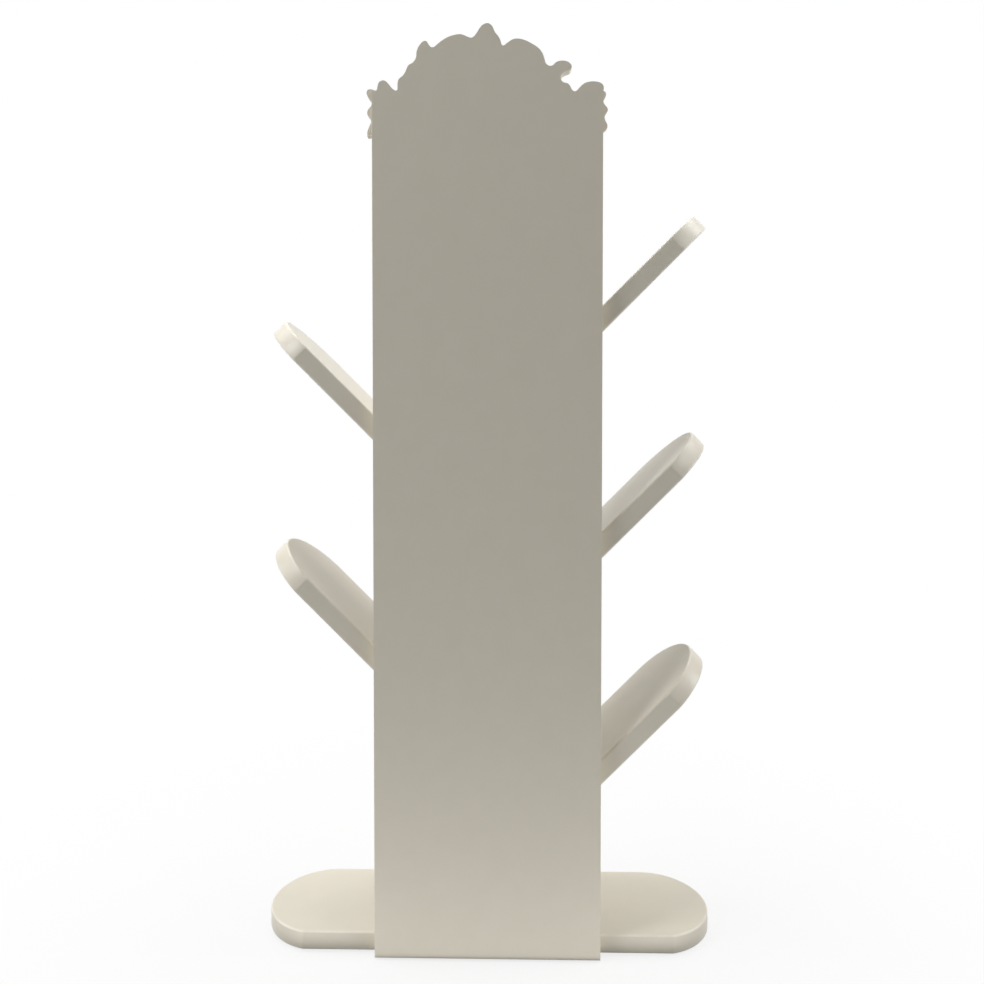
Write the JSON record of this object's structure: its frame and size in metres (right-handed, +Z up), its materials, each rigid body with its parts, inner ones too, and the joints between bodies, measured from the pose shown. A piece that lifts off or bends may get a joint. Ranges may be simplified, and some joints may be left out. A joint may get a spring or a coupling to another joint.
{
  "type": "tabletop book rack",
  "caption": "Tall back panel with a leafy cut crest, slanted round-ended shelves to the left and right by turns, and a round-ended base; holds books on a tabletop.",
  "frame": {"origin": "on the table, under the middle of the rack's box", "axes": "+Z up, -Y to the front where the books go in, +Y out of the panel's plain back, which the picture shows"},
  "size_m": [0.37, 0.107, 0.7311],
  "materials": {
    "cream_paint": "satin cream paint on board",
    "carving_paint": "satin cream paint on a carved trim",
    "dowel_wood": "bare beech",
    "felt": "pressed felt"
  },
  "bodies": {
    "root": {"back_panel": "cream_paint", "crest_carving": "carving_paint", "base_board": "cream_paint", "shelf_1": "cream_paint", "shelf_2": "cream_paint", "shelf_3": "cream_paint", "shelf_4": "cream_paint", "shelf_5": "cream_paint", "panel_dowels_1": "dowel_wood", "panel_dowels_2": "dowel_wood", "panel_dowels_3": "dowel_wood", "panel_dowels_4": "dowel_wood", "panel_dowels_5": "dowel_wood", "panel_dowels_base": "dowel_wood", "joint_dowels_1": "dowel_wood", "joint_dowels_2": "dowel_wood", "joint_dowels_3": "dowel_wood", "joint_dowels_4": "dowel_wood", "joint_dowels_5": "dowel_wood", "felt_pads": "felt"}
  },
  "joints": []
}
